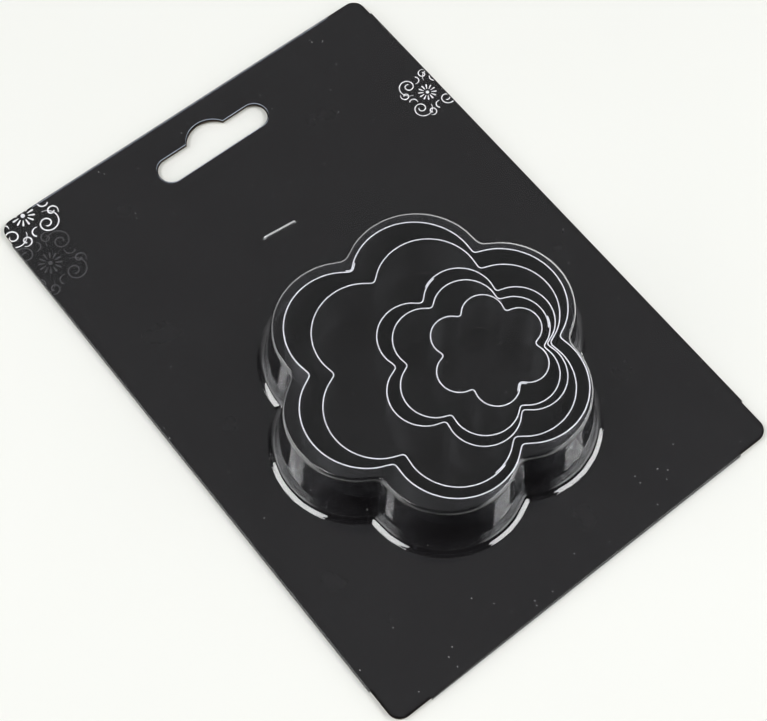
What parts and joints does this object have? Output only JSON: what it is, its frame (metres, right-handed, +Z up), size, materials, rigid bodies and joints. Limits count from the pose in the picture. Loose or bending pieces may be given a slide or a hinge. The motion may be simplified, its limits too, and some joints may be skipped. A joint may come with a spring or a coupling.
{
  "type": "carded flower cutter set",
  "caption": "Nested flower cutters of bent steel strip for fondant, loose under a six-lobed clear blister that is stapled to a black hang card.",
  "frame": {"origin": "under the middle of the pack, on the surface that it lies on", "axes": "+Z up out of the card's front, +Y towards the hang slot, +X to the right as the card is read"},
  "size_m": [0.1066, 0.1488, 0.0179],
  "materials": {
    "card": "black print under a gloss varnish",
    "film": "clear thermoformed film",
    "wire": "bright zinc-plated wire",
    "steel": "bright rolled strip"
  },
  "bodies": {
    "pack": {"backing_card": "card", "blister_cover": "film", "staple": "wire"},
    "largest_cutter": {"largest_cutter": "steel"},
    "large_cutter": {"large_cutter": "steel"},
    "middle_cutter": {"middle_cutter": "steel"},
    "small_cutter": {"small_cutter": "steel"},
    "smallest_cutter": {"smallest_cutter": "steel"}
  },
  "joints": [
    {"name": "largest_cutter_slide", "type": "slide", "parent": "pack", "child": "largest_cutter", "axis": [-0.9962, 0.0872, 0], "range_m": [0, 0.0022]},
    {"name": "large_cutter_slide", "type": "slide", "parent": "largest_cutter", "child": "large_cutter", "axis": [-0.4848, 0.8746, 0], "range_m": [0, 0.0041]},
    {"name": "middle_cutter_slide", "type": "slide", "parent": "large_cutter", "child": "middle_cutter", "axis": [-0.8572, 0.515, 0], "range_m": [0, 0.0126]},
    {"name": "small_cutter_slide", "type": "slide", "parent": "middle_cutter", "child": "small_cutter", "axis": [-0.7193, 0.6947, 0], "range_m": [0, 0.00175]},
    {"name": "smallest_cutter_slide", "type": "slide", "parent": "small_cutter", "child": "smallest_cutter", "axis": [-0.9781, 0.2079, 0], "range_m": [0, 0.0069]}
  ]
}
